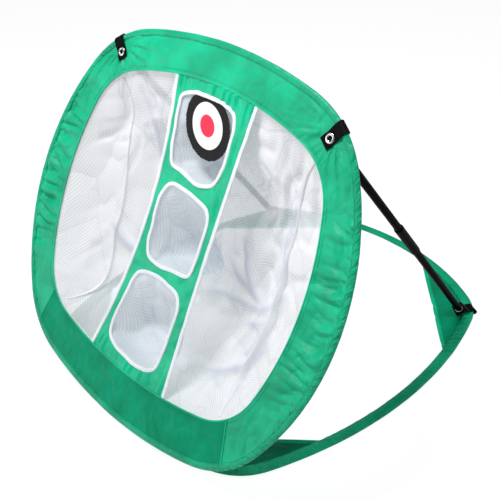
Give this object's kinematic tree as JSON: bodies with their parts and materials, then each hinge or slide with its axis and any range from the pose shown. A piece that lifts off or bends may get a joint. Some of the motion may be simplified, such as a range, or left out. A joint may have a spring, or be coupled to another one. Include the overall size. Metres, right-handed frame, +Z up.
{
  "type": "golf chipping net",
  "caption": "Pop-up golf chipping net: leaning front hoop with centre strip of target windows, mesh catch net, base hoop and shock-corded poles.",
  "frame": {"origin": "on the ground under the middle of the whole net", "axes": "+X to the golfer's right, +Y away from the golfer towards the base's rear, +Z up"},
  "size_m": [0.6, 0.6591, 0.4838],
  "materials": {
    "green_fabric": "woven polyester, slight sheen",
    "net_mesh": "fine open knitted mesh",
    "pouch_mesh": "fine open knitted mesh",
    "binding_tape": "matt woven tape",
    "target_print": "printed fabric",
    "webbing": "matt woven webbing",
    "eyelet_steel": "nickel plated",
    "spring_steel": "bare wire",
    "crimp_steel": "bare tube",
    "ferrule": "satin",
    "pole_tip": "satin",
    "pole_tube": "satin",
    "elastic_cord": "matt"
  },
  "bodies": {
    "base_frame": {"base_hoop_wire": "spring_steel", "base_sleeve_front": "green_fabric", "base_sleeve_left": "green_fabric", "base_sleeve_rear": "green_fabric", "base_sleeve_right": "green_fabric", "base_wire_crimp": "crimp_steel", "gusset_front_left": "green_fabric", "gusset_front_right": "green_fabric", "gusset_rear_left": "green_fabric", "gusset_rear_right": "green_fabric", "hinge_strip": "green_fabric", "rear_tab_left": "webbing", "rear_tab_right": "webbing"},
    "front_frame": {"border_bottom": "green_fabric", "border_left": "green_fabric", "border_right": "green_fabric", "border_top": "green_fabric", "catch_net": "net_mesh", "centre_strip": "green_fabric", "front_eyelet_left": "eyelet_steel", "front_eyelet_right": "eyelet_steel", "front_hoop_wire": "spring_steel", "front_sleeve_bottom": "green_fabric", "front_sleeve_left": "green_fabric", "front_sleeve_right": "green_fabric", "front_sleeve_top": "green_fabric", "front_tab_left": "webbing", "front_tab_right": "webbing", "front_washer_left": "eyelet_steel", "front_washer_right": "eyelet_steel", "front_wire_crimp": "crimp_steel", "strip_binding_left": "binding_tape", "strip_binding_right": "binding_tape", "target_patch": "target_print", "window_binding_bottom": "binding_tape", "window_binding_middle": "binding_tape", "window_binding_top": "binding_tape", "window_pouch_bottom": "pouch_mesh", "window_pouch_middle": "pouch_mesh", "window_pouch_top": "pouch_mesh"},
    "pole_lower_left": {"pole_lower_left": "pole_tube", "pole_ferrule_left": "ferrule", "pole_foot_tip_left": "pole_tip", "shock_cord_left": "elastic_cord", "rear_eyelet_left": "eyelet_steel", "rear_washer_left": "eyelet_steel"},
    "pole_upper_left": {"pole_upper_left": "pole_tube", "pole_top_tip_left": "pole_tip"},
    "pole_lower_right": {"pole_lower_right": "pole_tube", "pole_ferrule_right": "ferrule", "pole_foot_tip_right": "pole_tip", "shock_cord_right": "elastic_cord", "rear_eyelet_right": "eyelet_steel", "rear_washer_right": "eyelet_steel"},
    "pole_upper_right": {"pole_upper_right": "pole_tube", "pole_top_tip_right": "pole_tip"}
  },
  "joints": [
    {"name": "front_fold", "type": "hinge", "parent": "base_frame", "child": "front_frame", "pos_m": [0, -0.3203, 0.008], "axis": [-1, 0, 0], "range_deg": [0, 57], "deforming": ["hinge_strip", "catch_net", "window_pouch_top", "window_pouch_middle", "window_pouch_bottom"]},
    {"name": "pole_swing_left", "type": "hinge", "parent": "base_frame", "child": "pole_lower_left", "pos_m": [-0.2146, 0.2204, 0.013], "axis": [-1, 0, 0], "range_deg": [0, 125.5], "deforming": ["rear_tab_left"]},
    {"name": "pole_pull_left", "type": "slide", "parent": "pole_lower_left", "child": "pole_upper_left", "axis": [0.0364, -0.6266, 0.7785], "range_m": [0, 0.025], "deforming": ["shock_cord_left"]},
    {"name": "pole_swing_right", "type": "hinge", "parent": "base_frame", "child": "pole_lower_right", "pos_m": [0.2146, 0.2204, 0.013], "axis": [-1, 0, 0], "range_deg": [0, 125.5], "deforming": ["rear_tab_right"]},
    {"name": "pole_pull_right", "type": "slide", "parent": "pole_lower_right", "child": "pole_upper_right", "axis": [-0.0364, -0.6266, 0.7785], "range_m": [0, 0.025], "deforming": ["shock_cord_right"]}
  ],
  "couplings": [
    {"joint": "pole_swing_left", "follows": "front_fold", "ratio": 2.2},
    {"joint": "pole_pull_left", "follows": "front_fold", "m_per_rad": 0.025125},
    {"joint": "pole_swing_right", "follows": "front_fold", "ratio": 2.2},
    {"joint": "pole_pull_right", "follows": "front_fold", "m_per_rad": 0.025125}
  ]
}
